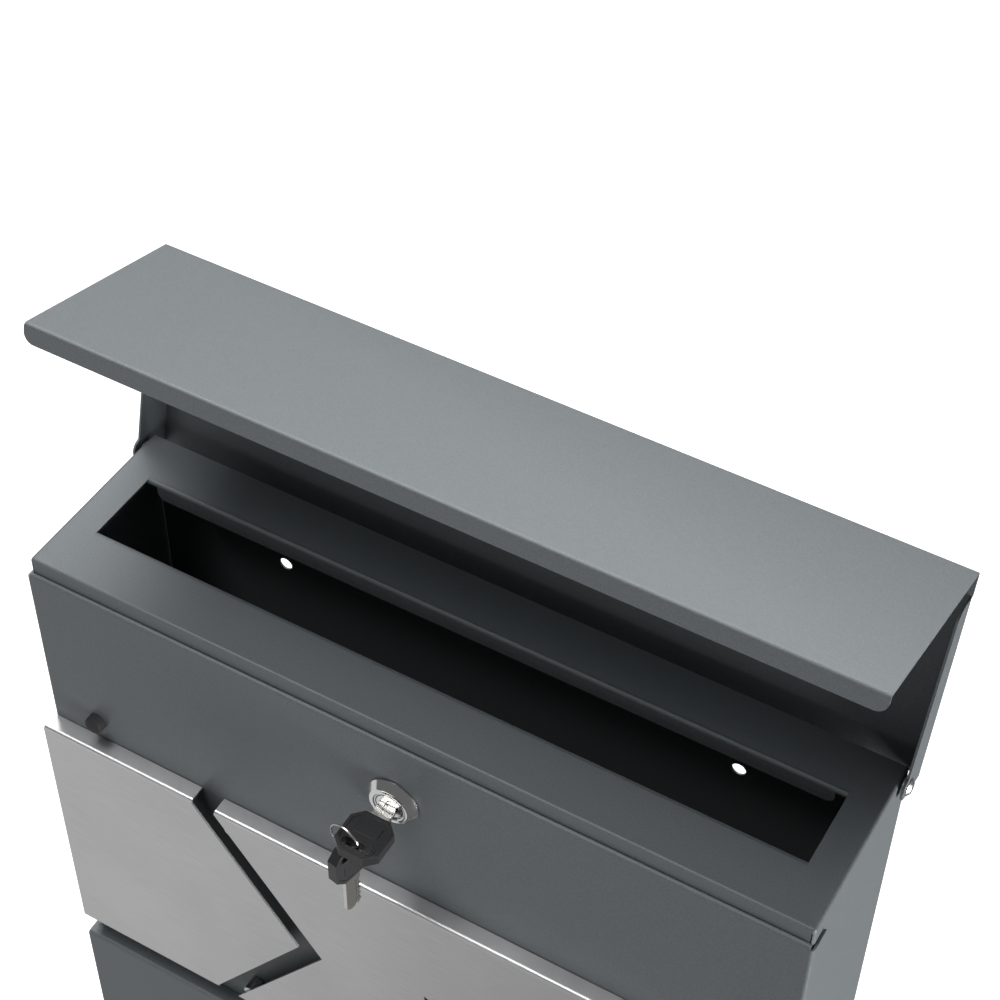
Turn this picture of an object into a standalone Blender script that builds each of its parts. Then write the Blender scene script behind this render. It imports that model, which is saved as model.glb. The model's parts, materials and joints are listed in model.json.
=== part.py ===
"""Wall mounted mailbox: sheet-metal housing, hinged lid, bottom-hinged door, cam lock and keys.

Metres, +Z up. The origin is the centre of the housing's rear face, which lies against the wall.
The front faces -Y. The lid is modelled shut, round its hinge axis, and then turned open.
"""

import math

import bmesh
import bpy
from mathutils import Matrix, Vector

MM = 0.001
GAP = 0.3 * MM  # between pieces that touch
SHEET = 1.0 * MM

# Housing
WIDTH = 370 * MM
DEPTH = 89 * MM
HEIGHT = 360 * MM
FRONT = -DEPTH
TOP = HEIGHT / 2
SIDE = WIDTH / 2
LIP_DEPTH = 20 * MM  # top lip, folded down behind the door's edge
RETURN_WIDTH = 12 * MM  # the other three folds round the door opening
SLOT_HALF = 169.5 * MM
SLOT_FRONT = -61 * MM
SLOT_REAR = -25 * MM
SLOT_FOLD = 8 * MM
WALL_HOLE = (115 * MM, 132.5 * MM)
WALL_HOLE_RADIUS = 3.25 * MM

# Lid, in its shut position round the hinge axis
LID_HINGE = Vector((0, -4.5 * MM, TOP - 6 * MM))
LID_OPEN = math.radians(105)
LID_RISE = 8.2 * MM  # outer face above the hinge axis, at the front bend
LID_FALL = math.tan(math.radians(4.5))  # the top panel slopes down to the front
LID_REACH = 101 * MM  # hinge axis to the front face
LID_TAIL = 4.2 * MM  # behind the hinge axis
LID_LOW = -88 * MM  # lower edge of the front flap
LID_LIP = 8.8 * MM
LID_SIDE = SIDE + 2.6 * MM  # outer face of the side flanges
FLANGE_LOW = -4.5 * MM

# Door
DOOR_FACE = FRONT - 2.35 * MM
DOOR_BACK = DOOR_FACE + SHEET
DOOR_TOP = TOP - 8 * MM
DOOR_BOTTOM = -TOP + 1 * MM
DOOR_SIDE = SIDE + GAP + SHEET
DOOR_FLANGE = 12 * MM
DOOR_HINGE = Vector((0, FRONT + 8 * MM, -TOP + 4 * MM))

# Cladding plates in front of the door
PLATE_FACE = DOOR_FACE - 9.1 * MM
PLATE_TOP = 75.5 * MM
PLATE_BOTTOM = -80 * MM
POINT_Z = -2 * MM
LEFT_SHOULDER = -103.2 * MM
LEFT_POINT = -50.7 * MM
MAIN_SHOULDER = -91 * MM
MAIN_NOTCH = -37.5 * MM
LOWER_TOP = -94.5 * MM
LOWER_BOTTOM = -172 * MM
ENVELOPE_CENTRE = (41 * MM, 0.0)
ENVELOPE_HALF = (23 * MM, 15 * MM)
ENVELOPE_BAR = 2.4 * MM
STUD_RADIUS = 3 * MM
STUD_PLACES = [
    (-172, 62), (-172, -66), (-104, -2),
    (-84, 64), (-85, -71), (172, 62), (172, -66),
    (-168, -132), (168, -132),
]
BUMPER_PLACE = (160 * MM, 87 * MM)
BUMPER_RADIUS = 4.5 * MM
BUMPER_HEIGHT = 5 * MM

# Rivets
RIVET_RADIUS = 2 * MM
RIVET_HOLE = 2.3 * MM

# Lock and keys
LOCK_Z = 137.5 * MM
BEZEL_RADII = (12.3 * MM, 9.3 * MM)
BEZEL_PROUD = 4.3 * MM
BARREL_RADIUS = 9.4 * MM
BARREL_BORE = 6.6 * MM
PLUG_RADIUS = 6.25 * MM
BARREL_END = -76 * MM
KEY_WIDTH = 8.6 * MM
KEY_THICK = 2 * MM
NECK_END = -103 * MM
HEAD_NEAR = -103.3 * MM
HEAD_LENGTH = 21.5 * MM
HEAD_WIDTH = 21 * MM
HEAD_THICK = 5 * MM
HEAD_CHAMFER = 4.6 * MM
HEAD_HOLE = (14 * MM, 3.4 * MM)
HOLE_FROM_END = 5 * MM
RING_RADIUS = 8 * MM
RING_WIRE = 0.6 * MM
RING_LEAN = math.radians(-10.7)  # the ring's plane, turned from +X towards +Y
RING_OFFSET = Vector((1.2 * MM, 0, -0.5 * MM))  # where it passes the slot of the first key
SPARE_SHIFT = 2 * MM  # the second key hangs off its middle


def clear_scene():
    for obj in list(bpy.data.objects):
        bpy.data.objects.remove(obj, do_unlink=True)


def new_collection(name):
    collection = bpy.data.collections.new(name)
    bpy.context.scene.collection.children.link(collection)
    return collection


clear_scene()
PARTS = new_collection("wall_mailbox")
CUTTERS = new_collection("cutters")
CUTTERS.hide_render = True


def material(name, colour, roughness, metallic):
    made = bpy.data.materials.new(name)
    made.use_nodes = True
    shader = made.node_tree.nodes["Principled BSDF"]
    shader.inputs["Base Color"].default_value = (*colour, 1)
    shader.inputs["Roughness"].default_value = roughness
    shader.inputs["Metallic"].default_value = metallic
    return made


POWDER_COAT = material("anthracite_powder_coat", (0.17, 0.19, 0.2), 0.5, 0.0)
STAINLESS = material("brushed_stainless", (0.6, 0.6, 0.6), 0.32, 1.0)
CHROME = material("chrome", (0.75, 0.75, 0.76), 0.12, 1.0)
NICKEL = material("nickel_silver", (0.66, 0.64, 0.6), 0.25, 1.0)
ZINC = material("zinc_plated_steel", (0.55, 0.55, 0.56), 0.35, 1.0)
RUBBER = material("black_rubber", (0.02, 0.02, 0.02), 0.8, 0.0)
BLACK_PLASTIC = material("black_plastic", (0.02, 0.02, 0.022), 0.45, 0.0)


def add_object(name, mesh, look=None):
    """A part when it has a look, and otherwise a cutter or a piece to be joined on."""
    obj = bpy.data.objects.new(name, mesh)
    if look is None:
        CUTTERS.objects.link(obj)
        obj.hide_render = True
        obj.display_type = "WIRE"
    else:
        PARTS.objects.link(obj)
        mesh.materials.append(look)
    return obj


def box(name, low, high, look=None):
    mesh = bpy.data.meshes.new(name)
    shape = bmesh.new()
    bmesh.ops.create_cube(shape, size=1)
    size = [b - a for a, b in zip(low, high)]
    middle = [(a + b) / 2 for a, b in zip(low, high)]
    bmesh.ops.scale(shape, vec=size, verts=shape.verts)
    bmesh.ops.translate(shape, vec=middle, verts=shape.verts)
    shape.to_mesh(mesh)
    shape.free()
    return add_object(name, mesh, look)


def cylinder(name, start, end, radius, look=None, end_radius=None, sides=32):
    """A cylinder or cone between two points."""
    start, end = Vector(start), Vector(end)
    run = end - start
    mesh = bpy.data.meshes.new(name)
    shape = bmesh.new()
    bmesh.ops.create_cone(
        shape, cap_ends=True, segments=sides, radius1=radius,
        radius2=radius if end_radius is None else end_radius, depth=run.length,
    )
    turn = Vector((0, 0, 1)).rotation_difference(run).to_matrix().to_4x4()
    shape.transform(Matrix.Translation((start + end) / 2) @ turn)
    shape.to_mesh(mesh)
    shape.free()
    mesh.shade_smooth()
    mesh.set_sharp_from_angle(angle=math.radians(35))
    return add_object(name, mesh, look)


def prism(name, outline, thickness, frame, look=None):
    """A flat outline with half its thickness to each side, placed by a matrix."""
    curve = bpy.data.curves.new(name, "CURVE")
    curve.dimensions = "2D"
    curve.fill_mode = "BOTH"
    curve.extrude = thickness / 2
    line = curve.splines.new("POLY")
    line.points.add(len(outline) - 1)
    for point, place in zip(line.points, outline):
        point.co = (*place, 0, 1)
    line.use_cyclic_u = True
    guide = bpy.data.objects.new(name + "_outline", curve)
    CUTTERS.objects.link(guide)
    bpy.context.view_layer.update()
    drawn = guide.evaluated_get(bpy.context.evaluated_depsgraph_get())
    mesh = bpy.data.meshes.new_from_object(drawn)
    bpy.data.objects.remove(guide)
    shape = bmesh.new()
    shape.from_mesh(mesh)
    bmesh.ops.remove_doubles(shape, verts=shape.verts, dist=1e-6)
    bmesh.ops.recalc_face_normals(shape, faces=shape.faces)
    shape.transform(frame)
    shape.to_mesh(mesh)
    shape.free()
    return add_object(name, mesh, look)


def arc(centre, radius, start, end, steps=6):
    """Points along an arc, with its angles in degrees."""
    turns = [math.radians(start + (end - start) * i / steps) for i in range(steps + 1)]
    return [(centre[0] + radius * math.cos(t), centre[1] + radius * math.sin(t)) for t in turns]


def change(obj, other, operation):
    step = obj.modifiers.new(other.name, "BOOLEAN")
    step.operation = operation
    step.solver = "EXACT"
    step.object = other


def join(obj, *others):
    for other in others:
        change(obj, other, "UNION")


def cut(obj, *others):
    for other in others:
        change(obj, other, "DIFFERENCE")


def side_frame(x):
    """Puts an outline drawn in (y, z) upright at this x."""
    return Matrix(((0, 0, 1, x), (1, 0, 0, 0), (0, 1, 0, 0), (0, 0, 0, 1)))


def front_frame(y):
    """Puts an outline drawn in (x, z) upright at this y."""
    return Matrix(((1, 0, 0, 0), (0, 0, -1, y), (0, 1, 0, 0), (0, 0, 0, 1)))


def across(obj, name, place, radius):
    """Drills a hole along X right through the object."""
    ends = [Vector((x, place[1], place[2])) for x in (-2 * SIDE, 2 * SIDE)]
    cut(obj, cylinder(name, *ends, radius, sides=20))


def housing():
    wrap = box("housing_wrap", (-SIDE, FRONT, -TOP), (SIDE, 0, TOP), POWDER_COAT)
    inner = SIDE - SHEET
    inside = TOP - SHEET
    cut(wrap, box("housing_inside", (-inner, FRONT - SHEET, -inside), (inner, SHEET, inside)))
    tuck = SHEET / 2
    back = FRONT + SHEET
    reach = SIDE - 1.6 * MM
    lip = box("housing_lip", (-reach, FRONT, TOP - LIP_DEPTH), (reach, back, TOP - tuck))
    folds = [lip]
    for sign in (-1, 1):
        ends = sorted((sign * (SIDE - tuck), sign * (SIDE - RETURN_WIDTH)))
        side = "right" if sign > 0 else "left"
        low = (ends[0], FRONT, -TOP + RETURN_WIDTH + GAP)
        folds.append(box("return_" + side, low, (ends[1], back, TOP - LIP_DEPTH - GAP)))
    base = -TOP + RETURN_WIDTH
    folds.append(box("return_base", (-reach, FRONT, -TOP + tuck), (reach, back, base)))
    low = TOP - SHEET - SLOT_FOLD
    for name, y in (("front", SLOT_FRONT - SHEET), ("rear", SLOT_REAR)):
        ends = SLOT_HALF - 5 * MM
        folds.append(box("slot_fold_" + name, (-ends, y, low), (ends, y + SHEET, TOP - tuck)))
    join(wrap, *folds)
    slot = ((-SLOT_HALF, SLOT_FRONT, TOP - 3 * SHEET), (SLOT_HALF, SLOT_REAR, TOP + SHEET))
    cut(wrap, box("slot", *slot))
    across(wrap, "lid_rivet_hole", LID_HINGE, RIVET_HOLE)
    across(wrap, "door_rivet_hole", DOOR_HINGE, RIVET_HOLE)


def back_plate():
    x = SIDE - SHEET - GAP
    z = TOP - SHEET - GAP
    plate = box("back_plate", (-x, -SHEET, -z), (x, 0, z), POWDER_COAT)
    for i, (h, v) in enumerate(((-1, -1), (-1, 1), (1, -1), (1, 1))):
        ends = [(h * WALL_HOLE[0], y, v * WALL_HOLE[1]) for y in (-5 * MM, 5 * MM)]
        cut(plate, cylinder(f"wall_hole_{i}", *ends, WALL_HOLE_RADIUS, sides=24))


def rivet(name, x_sign, place, flange_outer):
    """Head outside the flange, shank through flange and housing, tail inside."""
    head = x_sign * (flange_outer + GAP)
    inner = x_sign * (SIDE - SHEET - GAP)
    y, z = place[1], place[2]
    solid = cylinder(
        name, (x_sign * (SIDE - 2.4 * MM), y, z),
        (x_sign * (flange_outer + 0.5 * MM), y, z), RIVET_RADIUS, ZINC, sides=20,
    )
    cap = cylinder(
        name + "_cap", (head, y, z), (head + x_sign * 1.2 * MM, y, z),
        4 * MM, end_radius=2.6 * MM, sides=20,
    )
    tail = cylinder(
        name + "_tail", (inner, y, z), (inner - x_sign * 1.2 * MM, y, z), 2.5 * MM, sides=20
    )
    join(solid, cap, tail)


def rivets():
    for side, sign in (("left", -1), ("right", 1)):
        rivet("lid_rivet_" + side, sign, LID_HINGE, LID_SIDE)
        rivet("door_rivet_" + side, sign, DOOR_HINGE, DOOR_SIDE)
        ends = [(sign * x, LID_HINGE.y, LID_HINGE.z) for x in (SIDE + GAP, LID_SIDE - SHEET - GAP)]
        washer = cylinder("lid_washer_" + side, *ends, 4.2 * MM, ZINC, sides=24)
        across(washer, "washer_hole_" + side, LID_HINGE, RIVET_HOLE)


def lid_height(y):
    """Outer face of the top panel above the hinge axis."""
    return LID_RISE + (y + LID_REACH) * LID_FALL


def lid_outline():
    """Bent section of the shut lid: top panel, front flap and its lip, as (y, z)."""
    front = -LID_REACH
    tail = LID_TAIL
    low = LID_LOW
    t = SHEET
    return [
        (tail, lid_height(tail)), (front, LID_RISE), (front, low), (front + LID_LIP, low),
        (front + LID_LIP, low + t), (front + t, low + t), (front + t, LID_RISE - t),
        (tail, lid_height(tail) - t),
    ]


def flange_outline():
    """Side flange of the shut lid, as (y, z): level below, with a round lobe at the rivet."""
    start = -LID_REACH + 12 * MM
    half = SHEET / 2
    points = [(LID_TAIL, lid_height(LID_TAIL) - half), (start, lid_height(start) - half)]
    points += arc((start + 6 * MM, FLANGE_LOW + 6 * MM), 6 * MM, 180, 270)
    points.append((-10 * MM, FLANGE_LOW))
    points += arc((-1.5 * MM, -2 * MM), 6 * MM, 205, 325)
    return points


def place_open(obj):
    obj.rotation_euler = (-LID_OPEN, 0, 0)
    obj.location = LID_HINGE


def lid():
    panel = prism("lid_panel", lid_outline(), 2 * LID_SIDE, side_frame(0), POWDER_COAT)
    place_open(panel)
    for side, sign in (("left", -1), ("right", 1)):
        x = sign * (LID_SIDE - SHEET / 2)
        flange = prism("lid_flange_" + side, flange_outline(), SHEET, side_frame(x))
        place_open(flange)
        join(panel, flange)
    across(panel, "lid_pivot_hole", LID_HINGE, RIVET_HOLE)


def door():
    panel = box(
        "door_panel", (-DOOR_SIDE, DOOR_FACE, DOOR_BOTTOM), (DOOR_SIDE, DOOR_BACK, DOOR_TOP),
        POWDER_COAT,
    )
    panel_parts = []
    for side, sign in (("left", -1), ("right", 1)):
        ends = sorted((sign * DOOR_SIDE, sign * (DOOR_SIDE - SHEET)))
        deep = DOOR_FACE + DOOR_FLANGE
        low = (ends[0], DOOR_FACE + SHEET / 2, DOOR_BOTTOM)
        panel_parts.append(box("door_flange_" + side, low, (ends[1], deep, DOOR_TOP)))
        ear = (ends[0], deep - SHEET, DOOR_BOTTOM)
        high = (ends[1], DOOR_HINGE.y + 6 * MM, DOOR_BOTTOM + 14 * MM)
        panel_parts.append(box("door_ear_" + side, ear, high))
    edge = (-DOOR_SIDE + 2 * SHEET, DOOR_FACE + SHEET / 2, DOOR_TOP - SHEET)
    panel_parts.append(box("door_top_fold", edge, (-edge[0], FRONT - GAP, DOOR_TOP)))
    join(panel, *panel_parts)
    hole = [(0, y, LOCK_Z) for y in (DOOR_FACE - SHEET, DOOR_BACK + SHEET)]
    cut(panel, cylinder("lock_hole", *hole, BARREL_RADIUS + GAP))
    across(panel, "door_pivot_hole", DOOR_HINGE, RIVET_HOLE)


def plate(name, outline, fold_ends, look, low, high):
    """A flat plate with its top and bottom edges folded back to the door."""
    sheet = prism(name, outline, SHEET, front_frame(PLATE_FACE + SHEET / 2), look)
    back = DOOR_FACE - GAP
    for edge, z in (("low", low), ("high", high - SHEET)):
        start = (fold_ends[0], PLATE_FACE + SHEET / 2, z)
        join(sheet, box(f"{name}_{edge}_fold", start, (fold_ends[1], back, z + SHEET)))
    return sheet


def envelope_windows():
    """Four triangular windows whose bars draw an envelope."""
    x, z = ENVELOPE_CENTRE
    w, h = ENVELOPE_HALF
    b = ENVELOPE_BAR
    windows = [
        [(x - w + 2 * b, z + h), (x + w - 2 * b, z + h), (x, z + b)],
        [(x - w, z + h - b), (x - b, z), (x - w, z - h + b)],
        [(x + w, z + h - b), (x + w, z - h + b), (x + b, z)],
        [(x - w + 2 * b, z - h), (x, z - b), (x + w - 2 * b, z - h)],
    ]
    frame = front_frame(PLATE_FACE)
    return [prism(f"window_{i}", points, 4 * MM, frame) for i, points in enumerate(windows)]


def cladding():
    left = [
        (-DOOR_SIDE, PLATE_TOP), (LEFT_SHOULDER, PLATE_TOP), (LEFT_POINT, POINT_Z),
        (LEFT_SHOULDER, PLATE_BOTTOM), (-DOOR_SIDE, PLATE_BOTTOM),
    ]
    ends = (-DOOR_SIDE, LEFT_SHOULDER)
    plate("left_plate", left, ends, STAINLESS, PLATE_BOTTOM, PLATE_TOP)
    main = [
        (MAIN_SHOULDER, PLATE_TOP), (DOOR_SIDE, PLATE_TOP), (DOOR_SIDE, PLATE_BOTTOM),
        (MAIN_SHOULDER, PLATE_BOTTOM), (MAIN_NOTCH, POINT_Z),
    ]
    ends = (MAIN_SHOULDER, DOOR_SIDE)
    made = plate("main_plate", main, ends, STAINLESS, PLATE_BOTTOM, PLATE_TOP)
    cut(made, *envelope_windows())
    lower = [(-DOOR_SIDE, LOWER_TOP), (DOOR_SIDE, LOWER_TOP)]
    lower += [(DOOR_SIDE, LOWER_BOTTOM), (-DOOR_SIDE, LOWER_BOTTOM)]
    ends = (-DOOR_SIDE, DOOR_SIDE)
    plate("lower_panel", lower, ends, POWDER_COAT, LOWER_BOTTOM, LOWER_TOP)
    for i, (x, z) in enumerate(STUD_PLACES):
        ends = [(x * MM, y, z * MM) for y in (PLATE_FACE + SHEET + GAP, DOOR_FACE - GAP)]
        cylinder(f"plate_stud_{i + 1}", *ends, STUD_RADIUS, ZINC, sides=16)


def bumpers():
    for side, sign in (("left", -1), ("right", 1)):
        base = DOOR_FACE - GAP
        ends = [(sign * BUMPER_PLACE[0], y, BUMPER_PLACE[1]) for y in (base, base - BUMPER_HEIGHT)]
        cylinder("bumper_" + side, *ends, BUMPER_RADIUS, RUBBER, end_radius=4.1 * MM)


def on_axis(*places):
    return [(0, y, LOCK_Z) for y in places]


def lock():
    base = DOOR_FACE - GAP
    bezel_front = base - BEZEL_PROUD
    barrel = cylinder("lock_barrel", *on_axis(base - SHEET, BARREL_END), BARREL_RADIUS, CHROME)
    bezel = on_axis(base, bezel_front)
    join(barrel, cylinder("bezel", *bezel, BEZEL_RADII[0], end_radius=BEZEL_RADII[1]))
    bore = on_axis(bezel_front - SHEET, BARREL_END + SHEET)
    cut(barrel, cylinder("barrel_bore", *bore, BARREL_BORE))
    nut = cylinder("lock_nut", *on_axis(DOOR_BACK + GAP, DOOR_BACK + 4 * MM), 13.5 * MM, ZINC, sides=6)
    hole = on_axis(DOOR_BACK - SHEET, DOOR_BACK + 6 * MM)
    cut(nut, cylinder("nut_hole", *hole, BARREL_RADIUS + GAP))
    plug_end = BARREL_END + GAP
    plug = cylinder("lock_plug", *on_axis(bezel_front + 0.6 * MM, plug_end), PLUG_RADIUS, CHROME)
    half = (KEY_WIDTH / 2 + GAP, KEY_THICK / 2 + GAP)
    low = (-half[0], bezel_front - SHEET, LOCK_Z - half[1])
    cut(plug, box("keyway", low, (half[0], plug_end - 3 * MM, LOCK_Z + half[1])))
    cam_start = plug_end + GAP
    cam_end = cam_start + 2 * MM
    reach = 36 * MM
    low = (-7 * MM, cam_start, LOCK_Z - 7 * MM)
    box("lock_cam", low, (reach, cam_end, LOCK_Z + 7 * MM), ZINC)
    screw = on_axis(cam_end + GAP, cam_end + GAP + 2.5 * MM)
    cylinder("cam_screw", *screw, 4 * MM, ZINC, end_radius=3.4 * MM, sides=20)


def key_head(name, frame):
    """Key head drawn from its blade end along the outline's second axis."""
    w, l, c = HEAD_WIDTH / 2, HEAD_LENGTH, HEAD_CHAMFER
    outline = [(-w + c, 0), (w - c, 0), (w, c), (w, l - c), (w - c, l), (-w + c, l), (-w, l - c), (-w, c)]
    head = prism(name, outline, HEAD_THICK, frame, BLACK_PLASTIC)
    end = l - HOLE_FROM_END
    run = HEAD_HOLE[0] / 2 - HEAD_HOLE[1] / 2
    slot = arc((run, end), HEAD_HOLE[1] / 2, -90, 90) + arc((-run, end), HEAD_HOLE[1] / 2, 90, 270)
    cut(head, prism(name + "_hole", slot, 3 * HEAD_THICK, frame))


def blade(name, frame, length):
    """Blade with three shallow cuts along one edge, drawn from the head towards -v."""
    w = KEY_WIDTH / 2
    n = w - 1.6 * MM
    outline = [(-w, 0), (-w, -length + 2 * MM), (-w + 2 * MM, -length), (w - 2 * MM, -length)]
    for i in range(3):
        start = -length + (3 + 5 * i) * MM
        outline += [(w, start), (w, start + 1 * MM), (n, start + 2.5 * MM), (n, start + 3.5 * MM)]
    outline += [(w, -length + 19 * MM), (w, 0)]
    prism(name, outline, KEY_THICK, frame, NICKEL)


def keys():
    """The key in the lock lies flat; the second key hangs from the ring through its head."""
    inserted = Matrix(((1, 0, 0, 0), (0, -1, 0, HEAD_NEAR), (0, 0, -1, LOCK_Z), (0, 0, 0, 1)))
    key_head("key_head", inserted)
    shank = Matrix.Translation((0, NECK_END - HEAD_NEAR, 0)) @ inserted
    blade("key_blade", shank, 24 * MM)
    u = Vector((math.cos(RING_LEAN), math.sin(RING_LEAN), 0))
    v = Vector((-u.y, u.x, 0))
    hole = Vector((0, HEAD_NEAR - HEAD_LENGTH + HOLE_FROM_END, LOCK_Z))
    centre = hole + RING_OFFSET - RING_RADIUS * u
    ring(centre, u)
    rise = RING_RADIUS - math.sqrt(RING_RADIUS**2 - (HEAD_THICK / 2) ** 2)
    slot_top = centre.z - RING_RADIUS + rise + RING_WIRE + 0.2 * MM
    end = slot_top - HEAD_HOLE[1] / 2 + HOLE_FROM_END
    base = Vector((centre.x, centre.y, end - HEAD_LENGTH)) + SPARE_SHIFT * v
    hung = Matrix(
        ((v.x, 0, u.x, base.x), (v.y, 0, u.y, base.y), (0, 1, 0, base.z), (0, 0, 0, 1))
    )
    key_head("spare_key_head", hung)
    blade("spare_key_blade", Matrix.Translation((0, 0, -GAP)) @ hung, 24 * MM)


def ring(centre, along):
    points = 32
    curve = bpy.data.curves.new("key_ring", "CURVE")
    curve.dimensions = "3D"
    curve.bevel_depth = RING_WIRE
    curve.bevel_resolution = 1
    line = curve.splines.new("POLY")
    line.points.add(points - 1)
    for i, point in enumerate(line.points):
        t = 2 * math.pi * i / points
        place = centre + RING_RADIUS * (math.cos(t) * along + Vector((0, 0, math.sin(t))))
        point.co = (*place, 1)
    line.use_cyclic_u = True
    obj = bpy.data.objects.new("key_ring", curve)
    curve.materials.append(ZINC)
    PARTS.objects.link(obj)


housing()
back_plate()
rivets()
lid()
door()
cladding()
bumpers()
lock()
keys()
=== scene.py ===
"""Looks of the wall mounted mailbox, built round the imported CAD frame.

Metres, +Z up, the housing's rear face at y = 0 and its front towards -Y. Sheet-metal pieces are
open bent surfaces given their thickness by Solidify, and folds are united with their sheet before
their edges are broken. Small parts are turned or cut out of plate.
"""

import json
import math

import bmesh
import bpy
from mathutils import Matrix, Quaternion, Vector


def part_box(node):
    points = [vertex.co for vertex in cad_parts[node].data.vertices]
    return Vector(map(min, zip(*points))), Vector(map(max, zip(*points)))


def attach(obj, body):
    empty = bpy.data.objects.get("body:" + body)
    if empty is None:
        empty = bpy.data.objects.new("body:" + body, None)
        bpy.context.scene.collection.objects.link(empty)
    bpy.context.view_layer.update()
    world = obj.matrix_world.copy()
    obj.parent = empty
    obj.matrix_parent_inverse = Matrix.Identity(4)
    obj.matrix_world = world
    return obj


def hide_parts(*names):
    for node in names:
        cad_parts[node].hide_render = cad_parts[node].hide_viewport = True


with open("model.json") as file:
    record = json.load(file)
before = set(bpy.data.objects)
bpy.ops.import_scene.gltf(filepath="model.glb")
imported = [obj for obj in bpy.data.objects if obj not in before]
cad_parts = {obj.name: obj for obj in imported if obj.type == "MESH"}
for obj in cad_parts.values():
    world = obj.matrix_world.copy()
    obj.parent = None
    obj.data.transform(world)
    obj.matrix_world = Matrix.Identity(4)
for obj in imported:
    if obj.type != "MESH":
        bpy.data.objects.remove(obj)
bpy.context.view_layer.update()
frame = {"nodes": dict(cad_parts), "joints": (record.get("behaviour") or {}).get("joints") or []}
MM = 0.001
SHEET = 1.0 * MM
BEND = 1.7 * MM  # outer radius of the sheet-metal bends
EDGE = 0.16 * MM  # broken edges of the sheet
PIVOT_HOLE = 2.3 * MM  # radius of the holes that the rivets pass through

CAMERA_PLACE = (0.3066, -0.5489, 0.8880)
CAMERA_FORWARD = Vector((-0.3411, 0.6038, -0.7205))
CAMERA_ROLL = math.radians(0.9)
CAMERA_LENS = 80.1
FLOOR_Z = -0.6


def corner(node, end):
    """Lowest (0) or highest (1) corner of a CAD node's box."""
    return Vector(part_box(node)[end])


# ---------------------------------------------------------------- materials

def new_material(name):
    made = bpy.data.materials.new(name)
    made.use_nodes = True
    return made, made.node_tree.nodes, made.node_tree.links


def noise(nodes, links, scale, detail=2.0, stretch=(1, 1, 1)):
    """Noise in object space, in features per metre."""
    place = nodes.new("ShaderNodeTexCoord")
    mapping = nodes.new("ShaderNodeMapping")
    mapping.inputs["Scale"].default_value = stretch
    texture = nodes.new("ShaderNodeTexNoise")
    texture.inputs["Scale"].default_value = scale
    texture.inputs["Detail"].default_value = detail
    links.new(place.outputs["Object"], mapping.inputs["Vector"])
    links.new(mapping.outputs["Vector"], texture.inputs["Vector"])
    return texture


def ramp(nodes, links, source, low, high):
    """Maps a factor onto the span between two colours or greys."""
    made = nodes.new("ShaderNodeValToRGB")
    made.color_ramp.elements[0].position = 0.3
    made.color_ramp.elements[1].position = 0.7
    made.color_ramp.elements[0].color = (*low, 1)
    made.color_ramp.elements[1].color = (*high, 1)
    links.new(source.outputs["Fac"], made.inputs["Fac"])
    return made


def grey(value):
    return (value, value, value)


def bump(nodes, links, source, distance, strength, shader, under=None):
    made = nodes.new("ShaderNodeBump")
    made.inputs["Distance"].default_value = distance
    made.inputs["Strength"].default_value = strength
    links.new(source.outputs["Fac"], made.inputs["Height"])
    if under is not None:
        links.new(under.outputs["Normal"], made.inputs["Normal"])
    links.new(made.outputs["Normal"], shader.inputs["Normal"])
    return made


def powder_coat():
    """Fine-textured matt anthracite: grains of about 0.4 mm, with a faint orange peel."""
    made, nodes, links = new_material("powder_coat_look")
    shader = nodes["Principled BSDF"]
    grain = noise(nodes, links, 1900, 3)
    peel = noise(nodes, links, 260, 1)
    colour = ramp(nodes, links, grain, (0.118, 0.132, 0.139), (0.176, 0.194, 0.203))
    rough = ramp(nodes, links, grain, grey(0.44), grey(0.6))
    links.new(colour.outputs["Color"], shader.inputs["Base Color"])
    links.new(rough.outputs["Color"], shader.inputs["Roughness"])
    shader.inputs["Metallic"].default_value = 0.25
    shader.inputs["Specular IOR Level"].default_value = 0.55
    coarse = bump(nodes, links, peel, 0.0002, 0.25, shader)
    bump(nodes, links, grain, 0.00012, 0.5, shader, coarse)
    return made


def brushed(name, colour, roughness, stretch, scale=60):
    """Bright metal with fine lines along one direction."""
    made, nodes, links = new_material(name)
    shader = nodes["Principled BSDF"]
    lines = noise(nodes, links, scale, 4, stretch)
    patch = noise(nodes, links, 12, 2)
    tone = ramp(nodes, links, lines, tuple(c * 0.86 for c in colour), colour)
    rough = ramp(nodes, links, patch, grey(roughness * 0.88), grey(roughness * 1.12))
    links.new(tone.outputs["Color"], shader.inputs["Base Color"])
    links.new(rough.outputs["Color"], shader.inputs["Roughness"])
    shader.inputs["Metallic"].default_value = 1.0
    bump(nodes, links, lines, 0.00004, 0.35, shader)
    return made


def chrome():
    made, nodes, links = new_material("chrome_look")
    shader = nodes["Principled BSDF"]
    haze = noise(nodes, links, 300, 2)
    rough = ramp(nodes, links, haze, grey(0.07), grey(0.14))
    links.new(rough.outputs["Color"], shader.inputs["Roughness"])
    shader.inputs["Base Color"].default_value = (0.8, 0.8, 0.81, 1)
    shader.inputs["Metallic"].default_value = 1.0
    return made


def moulded(name, colour, roughness, grain_scale, depth):
    """Black plastic or rubber with a fine moulded grain."""
    made, nodes, links = new_material(name)
    shader = nodes["Principled BSDF"]
    grain = noise(nodes, links, grain_scale, 3)
    tone = ramp(nodes, links, grain, tuple(c * 0.75 for c in colour), tuple(c * 1.3 for c in colour))
    rough = ramp(nodes, links, grain, grey(roughness - 0.07), grey(roughness + 0.07))
    links.new(tone.outputs["Color"], shader.inputs["Base Color"])
    links.new(rough.outputs["Color"], shader.inputs["Roughness"])
    bump(nodes, links, grain, depth, 0.4, shader)
    return made


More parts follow.
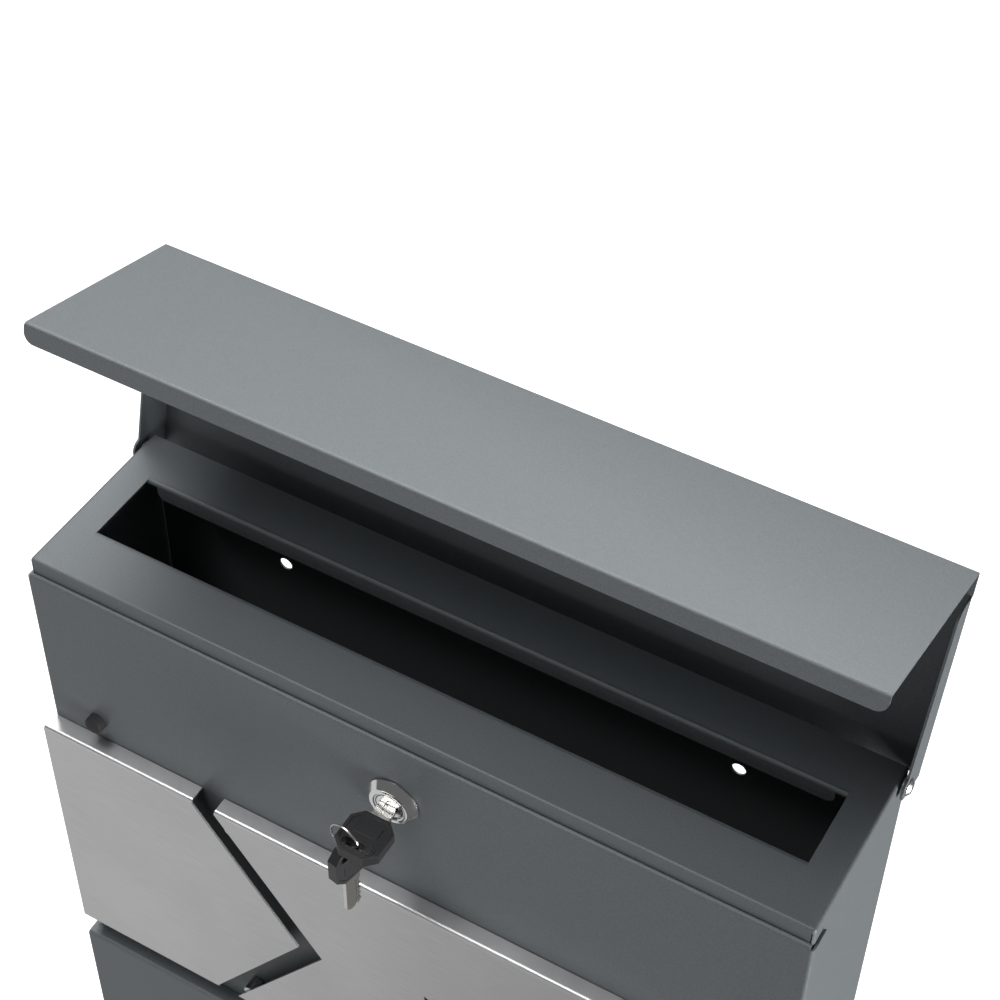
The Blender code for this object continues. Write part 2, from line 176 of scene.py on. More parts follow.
POWDER = powder_coat()
STAINLESS = brushed("stainless_look", (0.66, 0.66, 0.665), 0.4, (1, 1, 45))
NICKEL = brushed("nickel_look", (0.72, 0.70, 0.66), 0.25, (1, 30, 30), 90)
ZINC = brushed("zinc_look", (0.66, 0.665, 0.68), 0.33, (1, 1, 1), 700)
CHROME = chrome()
RUBBER = moulded("rubber_look", (0.022, 0.022, 0.023), 0.72, 900, 0.0001)
PLASTIC = moulded("plastic_look", (0.018, 0.018, 0.02), 0.42, 1500, 0.00005)


# ---------------------------------------------------------------- making pieces

def new_object(name, mesh):
    obj = bpy.data.objects.new(name, mesh)
    bpy.context.scene.collection.objects.link(obj)
    return obj


def finished(obj, material, body, slot, *nodes):
    """Applies the modifiers, shades the piece and puts it on its body."""
    bpy.context.view_layer.update()
    made = obj.evaluated_get(bpy.context.evaluated_depsgraph_get())
    mesh = bpy.data.meshes.new_from_object(made)
    obj.modifiers.clear()
    obj.data = mesh
    mesh.materials.clear()
    mesh.materials.append(material)
    mesh.shade_smooth()
    mesh.set_sharp_from_angle(angle=math.radians(32))
    even = obj.modifiers.new("normals", "WEIGHTED_NORMAL")
    even.keep_sharp = True
    settle(obj, [])
    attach(obj, body)
    if nodes:
        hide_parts(*nodes)
    return obj


def rounded(points, radius, steps=6):
    """The polyline with each inner corner turned into an arc."""
    made = []
    count = len(points)
    for i, point in enumerate(points):
        here = Vector(point)
        if i in (0, count - 1):
            made.append(here)
            continue
        before = (Vector(points[i - 1]) - here).normalized()
        after = (Vector(points[i + 1]) - here).normalized()
        half = before.angle(after) / 2
        reach = radius / math.tan(half)
        centre = here + (before + after).normalized() * (radius / math.sin(half))
        start = (here + before * reach - centre).normalized()
        end = (here + after * reach - centre).normalized()
        for k in range(steps + 1):
            step = start.slerp(end, k / steps) * radius
            made.append(centre + step)
    return made


def bent(name, profile, span, place):
    """An open sheet: a 2D profile swept along its span and placed by place(u, v, w)."""
    mesh = bpy.data.meshes.new(name)
    shape = bmesh.new()
    low, high = [[shape.verts.new(place(p[0], p[1], w)) for p in profile] for w in span]
    for i in range(len(profile) - 1):
        shape.faces.new((low[i], low[i + 1], high[i + 1], high[i]))
    shape.to_mesh(mesh)
    shape.free()
    obj = new_object(name, mesh)
    solid = obj.modifiers.new("thickness", "SOLIDIFY")
    solid.thickness = SHEET
    solid.offset = -1
    solid.use_even_offset = True
    return obj


def soften(obj, width=EDGE, segments=2):
    bevel = obj.modifiers.new("edges", "BEVEL")
    bevel.width = width
    bevel.segments = segments
    bevel.limit_method = "ANGLE"
    bevel.angle_limit = math.radians(50)
    bevel.use_clamp_overlap = True
    return obj


def across_x(u, v, w):
    return (w, u, v)


def along_z(u, v, w):
    return (u, v, w)


def block(name, low, high):
    mesh = bpy.data.meshes.new(name)
    shape = bmesh.new()
    bmesh.ops.create_cube(shape, size=1)
    bmesh.ops.scale(shape, vec=[b - a for a, b in zip(low, high)], verts=shape.verts)
    bmesh.ops.translate(shape, vec=[(a + b) / 2 for a, b in zip(low, high)], verts=shape.verts)
    shape.to_mesh(mesh)
    shape.free()
    return new_object(name, mesh)


def rod(name, start, end, radius, sides=48):
    start, end = Vector(start), Vector(end)
    mesh = bpy.data.meshes.new(name)
    shape = bmesh.new()
    bmesh.ops.create_cone(
        shape, cap_ends=True, segments=sides, radius1=radius, radius2=radius,
        depth=(end - start).length,
    )
    turn = Vector((0, 0, 1)).rotation_difference(end - start).to_matrix().to_4x4()
    shape.transform(Matrix.Translation((start + end) / 2) @ turn)
    shape.to_mesh(mesh)
    shape.free()
    return new_object(name, mesh)


def plate_from(name, outline, thickness, matrix):
    """A flat plate: the outline filled, with half the thickness to each side."""
    mesh = bpy.data.meshes.new(name)
    shape = bmesh.new()
    face = shape.faces.new([shape.verts.new((p[0], p[1], -thickness / 2)) for p in outline])
    lifted = bmesh.ops.extrude_face_region(shape, geom=[face])
    top = [v for v in lifted["geom"] if isinstance(v, bmesh.types.BMVert)]
    bmesh.ops.translate(shape, vec=(0, 0, thickness), verts=top)
    bmesh.ops.recalc_face_normals(shape, faces=shape.faces)
    shape.transform(matrix)
    if matrix.determinant() < 0:
        bmesh.ops.reverse_faces(shape, faces=shape.faces)
    shape.to_mesh(mesh)
    shape.free()
    return new_object(name, mesh)


def turned(name, profile, matrix, sides=64):
    """A turned piece: (radius, height) pairs round the local Z axis."""
    mesh = bpy.data.meshes.new(name)
    shape = bmesh.new()
    rings = []
    for radius, height in profile:
        if radius < 1e-6:
            rings.append([shape.verts.new((0, 0, height))])
            continue
        turns = [2 * math.pi * i / sides for i in range(sides)]
        around = [(radius * math.cos(t), radius * math.sin(t), height) for t in turns]
        rings.append([shape.verts.new(point) for point in around])
    for low, high in zip(rings, rings[1:]):
        for i in range(sides):
            j = (i + 1) % sides
            corners = [low[i % len(low)], low[j % len(low)], high[j % len(high)], high[i % len(high)]]
            shape.faces.new(list(dict.fromkeys(corners)))
    bmesh.ops.recalc_face_normals(shape, faces=shape.faces)
    shape.transform(matrix)
    shape.to_mesh(mesh)
    shape.free()
    return new_object(name, mesh)


def boolean(obj, tool, operation="DIFFERENCE"):
    step = obj.modifiers.new(tool.name, "BOOLEAN")
    step.operation = operation
    step.solver = "EXACT"
    step.object = tool
    return tool


def settle(obj, tools):
    """Applies the Booleans and removes their tools."""
    bpy.context.view_layer.update()
    made = obj.evaluated_get(bpy.context.evaluated_depsgraph_get())
    mesh = bpy.data.meshes.new_from_object(made)
    obj.modifiers.clear()
    obj.data = mesh
    for tool in tools:
        bpy.data.objects.remove(tool)


def cut(obj, *tools):
    for tool in tools:
        boolean(obj, tool)
    settle(obj, tools)


def unite(obj, *others):
    for other in others:
        boolean(obj, other, "UNION")
    settle(obj, others)


# ---------------------------------------------------------------- housing

LAP = 0.2 * MM  # overlap of pieces that are united
SHELL_LOW, SHELL_HIGH = corner("housing_wrap", 0), corner("housing_wrap", 1)
SLOT_X = 169.5 * MM
SLOT_Y = (-61 * MM, -25 * MM)
SLOT_FOLD = 9 * MM
TOP_LIP = 20 * MM
RETURN = 12 * MM


def housing_shell():
    """Tray with rounded bends: sides, top and bottom, with folds round the door opening."""
    low, high = SHELL_LOW, SHELL_HIGH
    shell = block("housing_shell", low, high)
    shape = bmesh.new()
    shape.from_mesh(shell.data)
    rear = [e for e in shape.edges if all(v.co.y > high.y - MM for v in e.verts)]
    bends = [e for e in shape.edges if e not in rear]
    bmesh.ops.bevel(shape, geom=bends, offset=BEND, segments=5, profile=0.5, affect="EDGES")
    shape.to_mesh(shell.data)
    shape.free()
    t = Vector((SHEET, SHEET, SHEET))
    hollow = block("hollow", low + t, high - t + Vector((0, 3 * SHEET, 0)))
    shape = bmesh.new()
    shape.from_mesh(hollow.data)
    bends = [e for e in shape.edges if not all(v.co.y > high.y for v in e.verts)]
    bmesh.ops.bevel(shape, geom=bends, offset=BEND - SHEET, segments=3, profile=0.5, affect="EDGES")
    shape.to_mesh(hollow.data)
    shape.free()
    gap = 0.5 * MM
    opening = block(
        "opening", (low.x + RETURN, low.y - MM, low.z + RETURN),
        (high.x - RETURN, low.y + 2 * SHEET, high.z - TOP_LIP),
    )
    tools = [hollow, opening]
    for sign in (-1, 1):
        x = sorted((sign * (high.x - SHEET - 0.15 * MM), sign * (high.x - SHEET - gap - 0.15 * MM)))
        side = "left" if sign < 0 else "right"
        for name, z in (
            ("top", (high.z - TOP_LIP - MM, high.z - 2.2 * MM)),
            ("base", (low.z + 2.2 * MM, low.z + RETURN + MM)),
        ):
            far = (x[1], low.y + 1.7 * MM, z[1])
            tools.append(block(f"seam_{name}_{side}", (x[0], low.y - MM, z[0]), far))
    far = (SLOT_X, SLOT_Y[1] + BEND, high.z + MM)
    tools.append(block("slot", (-SLOT_X, SLOT_Y[0] - BEND, high.z - 3 * MM), far))
    for node in ("lid_rivet_right", "door_rivet_right"):
        centre = (corner(node, 0) + corner(node, 1)) / 2
        ends = [(x, centre.y, centre.z) for x in (-0.3, 0.3)]
        tools.append(rod(node + "_hole", *ends, PIVOT_HOLE))
    cut(shell, *tools)
    unite(shell, *slot_rims())
    soften(shell)
    finished(shell, POWDER, "housing", "anthracite_powder_coat", "housing_wrap")


def slot_rims():
    """Long edges of the slot, rolled down inside; the short ends stay as cut."""
    top = SHELL_HIGH.z
    rims = []
    for name, edge, away in (("front", SLOT_Y[0], -1), ("rear", SLOT_Y[1], 1)):
        profile = [(edge + away * (BEND + LAP), top), (edge, top), (edge, top - SLOT_FOLD)]
        if away < 0:
            profile.reverse()
        line = rounded(profile, BEND)
        half = SLOT_X
        rim = bent("slot_rim_" + name, line, (-half - LAP, half + LAP), across_x)
        flip_to(rim, Vector((0, -away, 1)))
        trims = []
        for sign in (-1, 1):
            x = sorted((sign * (half - 5 * MM), sign * (half + MM)))
            low = (x[0], edge - 5 * MM, top - SLOT_FOLD - MM)
            trims.append(block("trim", low, (x[1], edge + 5 * MM, top - BEND - 0.2 * MM)))
            trims.append(corner_tool((sign * (half - 5 * MM), top - SLOT_FOLD), sign, edge))
        cut(rim, *trims)
        rims.append(rim)
    return rims


def corner_tool(place, sign, y, radius=4 * MM):
    """Cutter that rounds the lower corner of a fold, drawn in (x, z) and cut along Y."""
    x, z = place
    centre = Vector((x - sign * radius, z + radius))
    arc = []
    for i in range(9):
        t = math.radians(-90 + 90 * i / 8)
        arc.append((centre.x + sign * radius * math.cos(t), centre.y + radius * math.sin(t)))
    outline = arc + [(x + sign * MM, z + radius), (x + sign * MM, z - MM), (centre.x, z - MM)]
    matrix = Matrix(((1, 0, 0, 0), (0, 0, -1, y), (0, 1, 0, 0), (0, 0, 0, 1)))
    return plate_from("round_corner", outline, 14 * MM, matrix)


def flip_to(obj, outward):
    """Makes the surface's faces look outward, so that Solidify grows inwards."""
    total = Vector()
    for face in obj.data.polygons:
        total += face.normal * face.area
    if total.dot(outward) < 0:
        obj.data.flip_normals()


def back_wall():
    low, high = corner("back_plate", 0), corner("back_plate", 1)
    plate = block("back_wall", low, high)
    tools = []
    for h in (-1, 1):
        for v in (-1, 1):
            ends = [(h * 115 * MM, y, v * 132.5 * MM) for y in (-0.01, 0.01)]
            tools.append(rod("wall_hole", *ends, 3.25 * MM, 40))
    cut(plate, *tools)
    soften(plate)
    finished(plate, POWDER, "housing", "anthracite_powder_coat", "back_plate")


# ---------------------------------------------------------------- lid

LID = next(j for j in frame["joints"] if j["name"] == "lid_hinge")
LID_AXIS = Vector(LID["pos_m"])
LID_TURN = Matrix.Rotation(-math.radians(LID["range_deg"][1]), 4, "X")
LID_PLACE = Matrix.Translation(LID_AXIS) @ LID_TURN
LID_SIDE = corner("lid_panel", 1).x
LID_RISE, LID_REACH, LID_TAIL = 8.2 * MM, 101 * MM, 4.2 * MM
LID_FALL = math.tan(math.radians(4.5))
LID_LOW = -88 * MM
FLANGE_LOW = -4.5 * MM
LID_LIP = 8.8 * MM


def lid_height(y):
    """Outer face of the sloping top panel above the hinge axis."""
    return LID_RISE + (y + LID_REACH) * LID_FALL


def lid():
    """Drawn shut round the hinge axis, then turned open."""
    front = -LID_REACH
    tail = lid_height(LID_TAIL)
    profile = [(LID_TAIL, tail), (front, LID_RISE), (front, LID_LOW), (front + LID_LIP, LID_LOW)]
    sheet = bent("lid_sheet", rounded(profile, BEND), (-LID_SIDE, LID_SIDE), across_x)
    flip_to(sheet, Vector((0, -1, 1)))
    flange_front = front + 12 * MM
    tools = []
    for sign in (-1, 1):
        x = sorted((sign * (LID_SIDE - BEND), sign * (LID_SIDE + MM)))
        low = (x[0], flange_front, LID_RISE - 3 * MM)
        tools.append(block("side_notch", low, (x[1], LID_TAIL + MM, tail + MM)))
        tools.append(lip_corner(sign))
    cut(sheet, *tools)
    unite(sheet, lid_flange("left", -1, flange_front), lid_flange("right", 1, flange_front))
    soften(sheet)
    sheet.data.transform(LID_PLACE)
    finished(sheet, POWDER, "lid", "anthracite_powder_coat", "lid_panel")


def lip_corner(sign):
    """Rounds the lip's outer corner in plan (x, y)."""
    radius = 5 * MM
    x, y = sign * LID_SIDE, -LID_REACH + LID_LIP
    centre = Vector((x - sign * radius, y - radius))
    arc = []
    for i in range(9):
        t = math.radians(90 - 90 * i / 8)
        arc.append((centre.x + sign * radius * math.cos(t), centre.y + radius * math.sin(t)))
    outline = arc + [(x + sign * MM, y - radius), (x + sign * MM, y + MM), (centre.x, y + MM)]
    return plate_from("lip_corner", outline, 6 * MM, Matrix.Translation((0, 0, LID_LOW)))


def on_slope(u, v, w):
    return (u, w, v + (w + LID_REACH) * LID_FALL)


def lid_flange(side, sign, start):
    """Side flange folded from the lid's panel: level below, with a lobe round the rivet."""
    edge = LID_SIDE
    profile = [(sign * (edge - BEND - LAP), LID_RISE), (sign * edge, LID_RISE), (sign * edge, -25 * MM)]
    flange = bent("lid_flange_" + side, rounded(profile, BEND), (start, LID_TAIL), on_slope)
    flip_to(flange, Vector((sign, 0, 1)))
    top = lid_height(LID_TAIL) + MM
    keep = [(LID_TAIL + MM, top), (start - MM, top), (start - MM, FLANGE_LOW + 6 * MM)]
    keep += arc_points((start + 6 * MM, FLANGE_LOW + 6 * MM), 6 * MM, 180, 270)
    keep.append((-10 * MM, FLANGE_LOW))
    keep += arc_points((-1.5 * MM, -2 * MM), 6 * MM, 205, 325)
    keep.append((LID_TAIL + MM, -MM))
    stand = Matrix(((0, 0, 1, sign * edge), (1, 0, 0, 0), (0, 1, 0, 0), (0, 0, 0, 1)))
    outline = plate_from("flange_outline", keep, 12 * MM, stand)
    boolean(flange, outline, "INTERSECT")
    settle(flange, [outline])
    ends = [(sign * (edge + away), 0, 0) for away in (-5 * MM, 5 * MM)]
    cut(flange, rod("pivot_hole", *ends, PIVOT_HOLE))
    return flange


def arc_points(centre, radius, start, end, steps=8):
    turns = [math.radians(start + (end - start) * i / steps) for i in range(steps + 1)]
    return [(centre[0] + radius * math.cos(t), centre[1] + radius * math.sin(t)) for t in turns]


# ---------------------------------------------------------------- door and cladding

DOOR_LOW, DOOR_HIGH = corner("door_panel", 0), corner("door_panel", 1)
DOOR_FACE = DOOR_LOW.y
DOOR_FLANGE = 12 * MM
LOCK_Z = 137.5 * MM
FOLD = 2.0 * MM  # bend radius of the thin cladding's folded edges


def door():
    side = DOOR_HIGH.x
    deep = DOOR_FACE + DOOR_FLANGE
    profile = [(-side, deep), (-side, DOOR_FACE), (side, DOOR_FACE), (side, deep)]
    top = DOOR_HIGH.z
    sheet = bent("door_sheet", rounded(profile, BEND), (DOOR_LOW.z, top - BEND), along_z)
    flip_to(sheet, Vector((0, -1, 0)))
    lock = rod("lock_hole", (0, DOOR_FACE - 0.01, LOCK_Z), (0, DOOR_FACE + 0.01, LOCK_Z), 9.7 * MM)
    cut(sheet, lock)
    fold = [(DOOR_FACE, top - BEND - LAP), (DOOR_FACE, top), (DOOR_FACE + 2.05 * MM, top)]
    edge = bent("door_top_edge", rounded(fold, BEND), (-side + BEND, side - BEND), across_x)
    flip_to(edge, Vector((0, -1, 1)))
    unite(sheet, edge)
    soften(sheet)
    finished(sheet, POWDER, "door", "anthracite_powder_coat", "door_panel")
    for name, sign in (("left", -1), ("right", 1)):
        door_ear(name, sign, side, deep)


def door_ear(name, sign, side, deep):
    """Rounded ear round the pivot rivet at the foot of each side flange."""
    hinge = next(j for j in frame["joints"] if j["name"] == "door_hinge")["pos_m"]
    outline = [(deep - MM, DOOR_LOW.z), (hinge[1], DOOR_LOW.z)]
    outline += arc_points((hinge[1], hinge[2] + 3 * MM), 6 * MM, -90, 90)
    outline.append((deep - MM, DOOR_LOW.z + 14 * MM))
    stand = Matrix(((0, 0, 1, sign * (side - SHEET / 2)), (1, 0, 0, 0), (0, 1, 0, 0), (0, 0, 0, 1)))
    ear = plate_from("door_ear_" + name, outline, SHEET, stand)
    ends = [(sign * x, hinge[1], hinge[2]) for x in (side - 0.01, side + 0.01)]
    cut(ear, rod("ear_hole", *ends, PIVOT_HOLE))
    soften(ear)
    finished(ear, POWDER, "door", "anthracite_powder_coat")


PLATE_FACE = corner("main_plate", 0).y
FRONT_FRAME = Matrix(((1, 0, 0, 0), (0, 0, -1, PLATE_FACE + SHEET / 2), (0, 1, 0, 0), (0, 0, 0, 1)))


def cladding_plate(name, outline, fold_ends, material, slot, windows=()):
    """Flat plate whose top and bottom edges are bent back to the door."""
    low = min(p[1] for p in outline)
    high = max(p[1] for p in outline)
    inset = [(x, min(max(z, low + FOLD), high - FOLD)) for x, z in outline]
    sheet = plate_from(name + "_sheet", inset, SHEET, FRONT_FRAME)
    if windows:
        cut(sheet, *[plate_from("window", w, 4 * MM, FRONT_FRAME) for w in windows])
    back = DOOR_FACE - 0.3 * MM
    folds = []
    for edge, z, inner in (("top", high, high - FOLD - LAP), ("base", low, low + FOLD + LAP)):
        profile = [(PLATE_FACE, inner), (PLATE_FACE, z), (back, z)]
        fold = bent(f"{name}_{edge}_fold", rounded(profile, FOLD, 8), fold_ends, across_x)
        flip_to(fold, Vector((0, -1, 1 if edge == "top" else -1)))
        folds.append(fold)
    unite(sheet, *folds)
    soften(sheet)
    finished(sheet, material, "door", slot, name)


def envelope_windows():
    """Four triangular windows whose bars draw an envelope."""
    x, z = 41 * MM, 0.0
    w, h, b = 23 * MM, 15 * MM, 2.4 * MM
    return [
        [(x - w + 2 * b, z + h), (x + w - 2 * b, z + h), (x, z + b)],
        [(x - w, z + h - b), (x - b, z), (x - w, z - h + b)],
        [(x + w, z + h - b), (x + w, z - h + b), (x + b, z)],
        [(x - w + 2 * b, z - h), (x, z - b), (x + w - 2 * b, z - h)],
    ]


def cladding():
    high, low = corner("main_plate", 1).z, corner("main_plate", 0).z
    side = corner("main_plate", 1).x
    point = -2 * MM
    shoulder, tip = -103.2 * MM, -50.7 * MM
    left = [(-side, low), (shoulder, low), (tip, point), (shoulder, high), (-side, high)]
    ends = (-side, shoulder)
    cladding_plate("left_plate", left, ends, STAINLESS, "brushed_stainless")
    shoulder, tip = -91 * MM, -37.5 * MM
    main = [(side, high), (shoulder, high), (tip, point), (shoulder, low), (side, low)]
    ends = (shoulder, side)
    cladding_plate("main_plate", main, ends, STAINLESS, "brushed_stainless", envelope_windows())
    low, high = corner("lower_panel", 0).z, corner("lower_panel", 1).z
    base = [(-side, low), (side, low), (side, high), (-side, high)]
    ends = (-side, side)
    cladding_plate("lower_panel", base, ends, POWDER, "anthracite_powder_coat")


def bumpers():
    """Domed rubber buttons that the lid's lip lands on."""
    for side in ("left", "right"):
        low, high = corner("bumper_" + side, 0), corner("bumper_" + side, 1)
        centre = (low + high) / 2
        r, h = (high.x - low.x) / 2, high.y - low.y
        profile = [(0, 0), (r, 0), (r, 0.62 * h)]
        profile += [(r - 1.3 * MM * (1 - math.cos(t)), 0.62 * h + 0.3 * h * math.sin(t))
                    for t in [math.radians(15 * i) for i in range(1, 6)]]
        profile += [(0.55 * r, 0.975 * h), (0, h)]
        facing = Matrix.Translation((centre.x, high.y, centre.z)) @ Matrix.Rotation(math.pi / 2, 4, "X")
        button = turned("rubber_button_" + side, profile, facing)
        finished(button, RUBBER, "door", "black_rubber", "bumper_" + side)


# ---------------------------------------------------------------- lock and keys

HEAD_WIDTH, HEAD_LENGTH, HEAD_CHAMFER, HEAD_THICK = 21 * MM, 21.5 * MM, 4.6 * MM, 5 * MM
HEAD_SLOT = 16.5 * MM  # middle of the slot, from the blade end
BLADE_GAP = 0.3 * MM
RING_RADIUS = 8 * MM


def lock():
    low, high = corner("lock_barrel", 0), corner("lock_barrel", 1)
    base = DOOR_FACE - 0.3 * MM
    proud = base - low.y
    facing = Matrix.Translation((0, base, LOCK_Z)) @ Matrix.Rotation(math.pi / 2, 4, "X")
    r = (high.x - low.x) / 2
    inner = 9.3 * MM
    bore = 6.6 * MM
    end = base - high.y
    profile = [(bore, end), (9.4 * MM, end), (9.4 * MM, 0)]
    profile += [(r - 0.2 * MM, 0), (r, 0.2 * MM), (r, 0.7 * MM), (r - 0.25 * MM, 1.05 * MM)]
    profile += [(inner + 0.5 * MM, proud - 0.45 * MM), (inner, proud - 0.1 * MM)]
    profile += [(inner - 0.5 * MM, proud), (bore + 1.1 * MM, proud), (bore + 0.6 * MM, proud - 0.5 * MM)]
    profile += [(bore + 0.15 * MM, proud - 0.55 * MM), (bore, proud - 0.7 * MM), (bore, end)]
    barrel = turned("lock_bezel", profile, facing, 96)
    finished(barrel, CHROME, "door", "chrome", "lock_barrel")


def key_outline(inset=0.0):
    """Head seen flat, from the blade end (v = 0) to the ring end."""
    w, l, c = HEAD_WIDTH / 2 - inset, HEAD_LENGTH - inset, HEAD_CHAMFER - 0.4 * inset
    low = inset
    return [
        (-w + c, low), (w - c, low), (w, low + c), (w, l - c),
        (w - c, l), (-w + c, l), (-w, l - c), (-w, low + c),
    ]


def capsule(half_length, radius, v):
    run = half_length - radius
    return arc_points((run, v), radius, -90, 90) + arc_points((-run, v), radius, 90, 270)


def key_head(name, matrix, body, node):
    """Moulded head: raised rim, raised plain pad and a rimmed slot on both faces."""
    head = plate_from(name, key_outline(), HEAD_THICK, matrix)
    pockets = []
    for sign in (-1, 1):
        face = matrix @ Matrix.Translation((0, 0, sign * HEAD_THICK / 2))
        pockets.append(plate_from("pocket", key_outline(1.5 * MM), 0.8 * MM, face))
    cut(head, *pockets)
    pad = [(-5.5 * MM, 4.6 * MM), (5.5 * MM, 4.6 * MM), (5.5 * MM, 10.6 * MM), (-5.5 * MM, 10.6 * MM)]
    raised = plate_from("pad", pad, 4.8 * MM, matrix)
    rim = plate_from("slot_rim", capsule(8.1 * MM, 2.7 * MM, HEAD_SLOT), 4.9 * MM, matrix)
    unite(head, raised, rim)
    cut(head, plate_from("slot", capsule(7 * MM, 1.7 * MM, HEAD_SLOT), 9 * MM, matrix))
    soften(head, 0.35 * MM, 3)
    finished(head, PLASTIC, body, "black_plastic", node)


def key_blade(name, matrix, body, node):
    """Blade with its cuts along one edge and a milled groove in each face."""
    w, length = 4.3 * MM, 24 * MM
    outline = [(-w, 0), (-w, -length + 2 * MM), (-w + 2 * MM, -length), (w - 2 * MM, -length)]
    for i, depth in enumerate((1.6, 0.9, 1.9, 1.2)):
        start = -length + (2.6 + 3.6 * i) * MM
        deep = w - depth * MM
        outline += [(w, start), (w - 0.3 * MM, start + 0.5 * MM)]
        outline += [(deep, start + 1.5 * MM), (deep, start + 2.2 * MM)]
    outline += [(w, -length + 18.6 * MM), (w, 0)]
    made = plate_from(name, outline, 2 * MM, matrix)
    grooves = []
    for sign, v in ((-1, -1.6), (1, 0.6)):
        face = matrix @ Matrix.Translation((0, 0, sign * MM))
        near, far, end = v * MM, (v + 1.3) * MM, -length - MM
        line = [(near, end), (far, end), (far, -6 * MM), (near, -6 * MM)]
        grooves.append(plate_from("groove", line, 1.0 * MM, face))
    cut(made, *grooves)
    soften(made, 0.15 * MM, 2)
    finished(made, NICKEL, body, "nickel_silver", node)


def split_ring(centre, u, v):
    """Two turns of thin wire side by side."""
    wire, sides, steps = 0.3 * MM, 10, 144
    shape = bmesh.new()
    rings = []
    for i in range(steps + 1):
        t = 4 * math.pi * i / steps
        out = math.cos(t) * u + Vector((0, 0, math.sin(t)))
        middle = centre + RING_RADIUS * out + (i / steps - 0.5) * 0.64 * MM * v
        turns = [2 * math.pi * k / sides for k in range(sides)]
        around = [middle + wire * (math.cos(a) * out + math.sin(a) * v) for a in turns]
        rings.append([shape.verts.new(point) for point in around])
    for low, high in zip(rings, rings[1:]):
        for k in range(sides):
            shape.faces.new((low[k], low[(k + 1) % sides], high[(k + 1) % sides], high[k]))
    shape.faces.new(rings[0])
    shape.faces.new(list(reversed(rings[-1])))
    bmesh.ops.recalc_face_normals(shape, faces=shape.faces)
    mesh = bpy.data.meshes.new("split_ring")
    shape.to_mesh(mesh)
    shape.free()
    finished(new_object("split_ring", mesh), NICKEL, "key", "nickel_silver", "key_ring")


def keys():
    near = corner("key_head", 1).y
    inserted = Matrix(((1, 0, 0, 0), (0, -1, 0, near), (0, 0, -1, LOCK_Z), (0, 0, 0, 1)))
    key_head("moulded_head", inserted, "key", "key_head")
    shank = Matrix.Translation((0, BLADE_GAP, 0)) @ inserted
    key_blade("cut_blade", shank, "key", "key_blade")
    swing = next(j for j in frame["joints"] if j["name"] == "spare_key_swing")
    u = Vector(swing["axis"])
    v = Vector((-u.y, u.x, 0))
    split_ring(Vector(swing["pos_m"]) + Vector((0, 0, RING_RADIUS)), u, v)
    low, high = corner("spare_key_head", 0), corner("spare_key_head", 1)
    base = (low + high) / 2
    hung = Matrix(((v.x, 0, u.x, base.x), (v.y, 0, u.y, base.y), (0, 1, 0, low.z), (0, 0, 0, 1)))
    key_head("moulded_spare_head", hung, "spare_key", "spare_key_head")
    lowered = Matrix.Translation((0, 0, -BLADE_GAP)) @ hung
    key_blade("cut_spare_blade", lowered, "spare_key", "spare_key_blade")


def dress(node, material):
    """A CAD piece whose shape is right keeps its mesh and takes a better material."""
    obj = frame["nodes"][node]
    obj.data.materials.clear()
    obj.data.materials.append(material)


def carried_over():
    for node in frame["nodes"]:
        if node.startswith(("plate_stud", "lid_rivet", "door_rivet", "lid_washer")):
            dress(node, ZINC)
    for node in ("lock_cam", "cam_screw", "lock_nut"):
        dress(node, ZINC)
    dress("lock_plug", CHROME)


# ---------------------------------------------------------------- stage

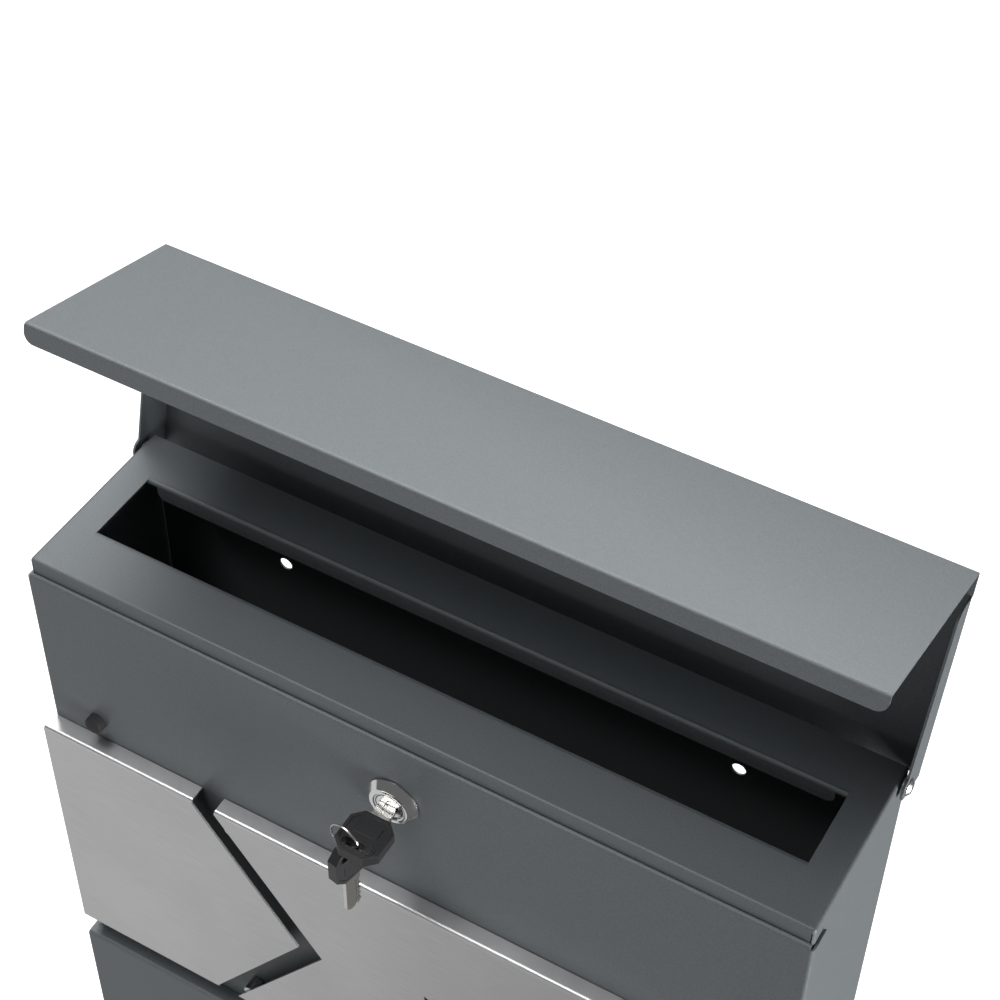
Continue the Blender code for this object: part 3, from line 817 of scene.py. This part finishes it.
def stage():
    mesh = bpy.data.meshes.new("floor")
    shape = bmesh.new()
    bmesh.ops.create_grid(shape, x_segments=1, y_segments=1, size=80)
    shape.to_mesh(mesh)
    shape.free()
    floor = new_object("floor", mesh)
    floor.location = (0, 0, FLOOR_Z)
    floor.visible_diffuse = False
    floor.visible_glossy = False
    floor.visible_shadow = False
    made, nodes, _ = new_material("floor_look")
    shader = nodes["Principled BSDF"]
    shader.inputs["Base Color"].default_value = (0.6, 0.6, 0.6, 1)
    shader.inputs["Roughness"].default_value = 0.9
    shader.inputs["Emission Color"].default_value = (1, 1, 1, 1)
    shader.inputs["Emission Strength"].default_value = 1.0
    mesh.materials.append(made)
    world = bpy.data.worlds.new("studio")
    world.use_nodes = True
    backdrop = world.node_tree.nodes["Background"]
    backdrop.inputs["Color"].default_value = (1, 1, 1, 1)
    backdrop.inputs["Strength"].default_value = 0.14
    bpy.context.scene.world = world


def light(name, place, aim, size, power):
    lamp = bpy.data.lights.new(name, "AREA")
    lamp.shape = "RECTANGLE"
    lamp.size, lamp.size_y = size
    lamp.energy = power
    obj = bpy.data.objects.new(name, lamp)
    obj.location = place
    obj.rotation_euler = (Vector(aim) - Vector(place)).to_track_quat("-Z", "Y").to_euler()
    bpy.context.scene.collection.objects.link(obj)


def lights():
    light("soft_back", (-0.5, 1.1, 1.8), (0, 0, 0.2), (1.6, 1.2), 41)
    light("soft_over", (-0.6, -0.45, 1.9), (0, -0.1, 0.1), (1.2, 0.7), 18)
    light("soft_front", (-0.75, -2.0, 0.15), (0, 0, 0.1), (1.2, 0.8), 2.6)
    light("soft_below", (-1.4, -1.0, -1.0), (0, 0, 0), (3.0, 2.6), 12)
    light("soft_right", (1.7, -0.35, -0.15), (0.1, 0, -0.05), (0.9, 0.9), 42)


def camera():
    data = bpy.data.cameras.new("camera")
    data.lens = CAMERA_LENS
    data.sensor_width = 36
    obj = bpy.data.objects.new("camera", data)
    obj.location = CAMERA_PLACE
    look = CAMERA_FORWARD.to_track_quat("-Z", "Y")
    obj.rotation_mode = "QUATERNION"
    obj.rotation_quaternion = look @ Quaternion((0, 0, 1), CAMERA_ROLL)
    bpy.context.scene.collection.objects.link(obj)
    bpy.context.scene.camera = obj
    bpy.context.scene.view_settings.view_transform = "Standard"


camera()
stage()
lights()
housing_shell()
back_wall()
lid()
door()
cladding()
bumpers()
lock()
keys()
carried_over()
